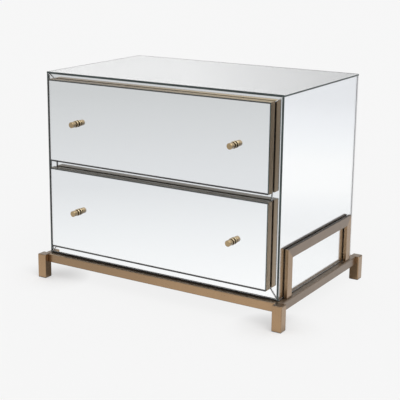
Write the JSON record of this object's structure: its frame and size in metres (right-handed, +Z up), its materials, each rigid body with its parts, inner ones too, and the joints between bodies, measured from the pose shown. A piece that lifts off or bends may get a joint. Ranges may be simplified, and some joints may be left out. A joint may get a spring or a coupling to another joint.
{
  "type": "nightstand",
  "caption": "Mirrored nightstand with stacked overlay drawers on full-extension slides, bronze edging and knobs, and a bronze square-tube base with flat-bar side brackets.",
  "frame": {"origin": "on the floor, midway between the sides, and midway between the knob tips and the backs of the rear legs", "axes": "+X to the right as seen when facing the drawers, +Y to the back, +Z up; the drawers open along -Y"},
  "size_m": [0.762, 0.515, 0.578],
  "materials": {
    "mirror": "polished silvered glass",
    "bronze": "satin antique bronze",
    "bronze_trim": "satin antique bronze",
    "knob_brass": "satin brass",
    "black_board": "black painted board",
    "birch": "clear lacquered birch",
    "drawer_bottom": "clear lacquered birch plywood",
    "steel": "zinc plated",
    "glide": "moulded black nylon"
  },
  "bodies": {
    "case": {"top_mirror": "mirror", "left_side_mirror": "mirror", "right_side_mirror": "mirror", "front_strip_top": "mirror", "front_strip_bottom": "mirror", "front_strip_left": "mirror", "front_strip_right": "mirror", "front_strip_middle": "mirror", "case_top_board": "black_board", "case_bottom_board": "black_board", "case_left_side": "black_board", "case_right_side": "black_board", "case_back_panel": "black_board", "drawer_divider": "black_board", "base_front_rail": "bronze", "base_rear_rail": "bronze", "base_left_rail": "bronze", "base_right_rail": "bronze", "front_left_leg": "bronze", "front_right_leg": "bronze", "rear_left_leg": "bronze", "rear_right_leg": "bronze", "left_side_bracket": "bronze", "right_side_bracket": "bronze", "leg_glides": "glide", "base_screws": "steel", "upper_left_slide_outer": "steel", "upper_right_slide_outer": "steel", "lower_left_slide_outer": "steel", "lower_right_slide_outer": "steel"},
    "upper_drawer": {"upper_front_board": "black_board", "upper_front_mirror": "mirror", "upper_front_trim": "bronze_trim", "upper_box_front": "birch", "upper_box_left": "birch", "upper_box_right": "birch", "upper_box_back": "birch", "upper_box_bottom": "drawer_bottom", "upper_left_knob": "knob_brass", "upper_right_knob": "knob_brass", "upper_knob_screws": "steel", "upper_left_slide_inner": "steel", "upper_right_slide_inner": "steel"},
    "upper_slide_middles": {"upper_left_slide_middle": "steel", "upper_right_slide_middle": "steel"},
    "lower_drawer": {"lower_front_board": "black_board", "lower_front_mirror": "mirror", "lower_front_trim": "bronze_trim", "lower_box_front": "birch", "lower_box_left": "birch", "lower_box_right": "birch", "lower_box_back": "birch", "lower_box_bottom": "drawer_bottom", "lower_left_knob": "knob_brass", "lower_right_knob": "knob_brass", "lower_knob_screws": "steel", "lower_left_slide_inner": "steel", "lower_right_slide_inner": "steel"},
    "lower_slide_middles": {"lower_left_slide_middle": "steel", "lower_right_slide_middle": "steel"}
  },
  "joints": [
    {"name": "upper_drawer_slide", "type": "slide", "parent": "case", "child": "upper_drawer", "axis": [0, -1, 0], "range_m": [0, 0.38]},
    {"name": "upper_middle_slide", "type": "slide", "parent": "case", "child": "upper_slide_middles", "axis": [0, -1, 0], "range_m": [0, 0.19]},
    {"name": "lower_drawer_slide", "type": "slide", "parent": "case", "child": "lower_drawer", "axis": [0, -1, 0], "range_m": [0, 0.38]},
    {"name": "lower_middle_slide", "type": "slide", "parent": "case", "child": "lower_slide_middles", "axis": [0, -1, 0], "range_m": [0, 0.19]}
  ],
  "couplings": [
    {"joint": "upper_middle_slide", "follows": "upper_drawer_slide", "ratio": 0.5},
    {"joint": "lower_middle_slide", "follows": "lower_drawer_slide", "ratio": 0.5}
  ]
}
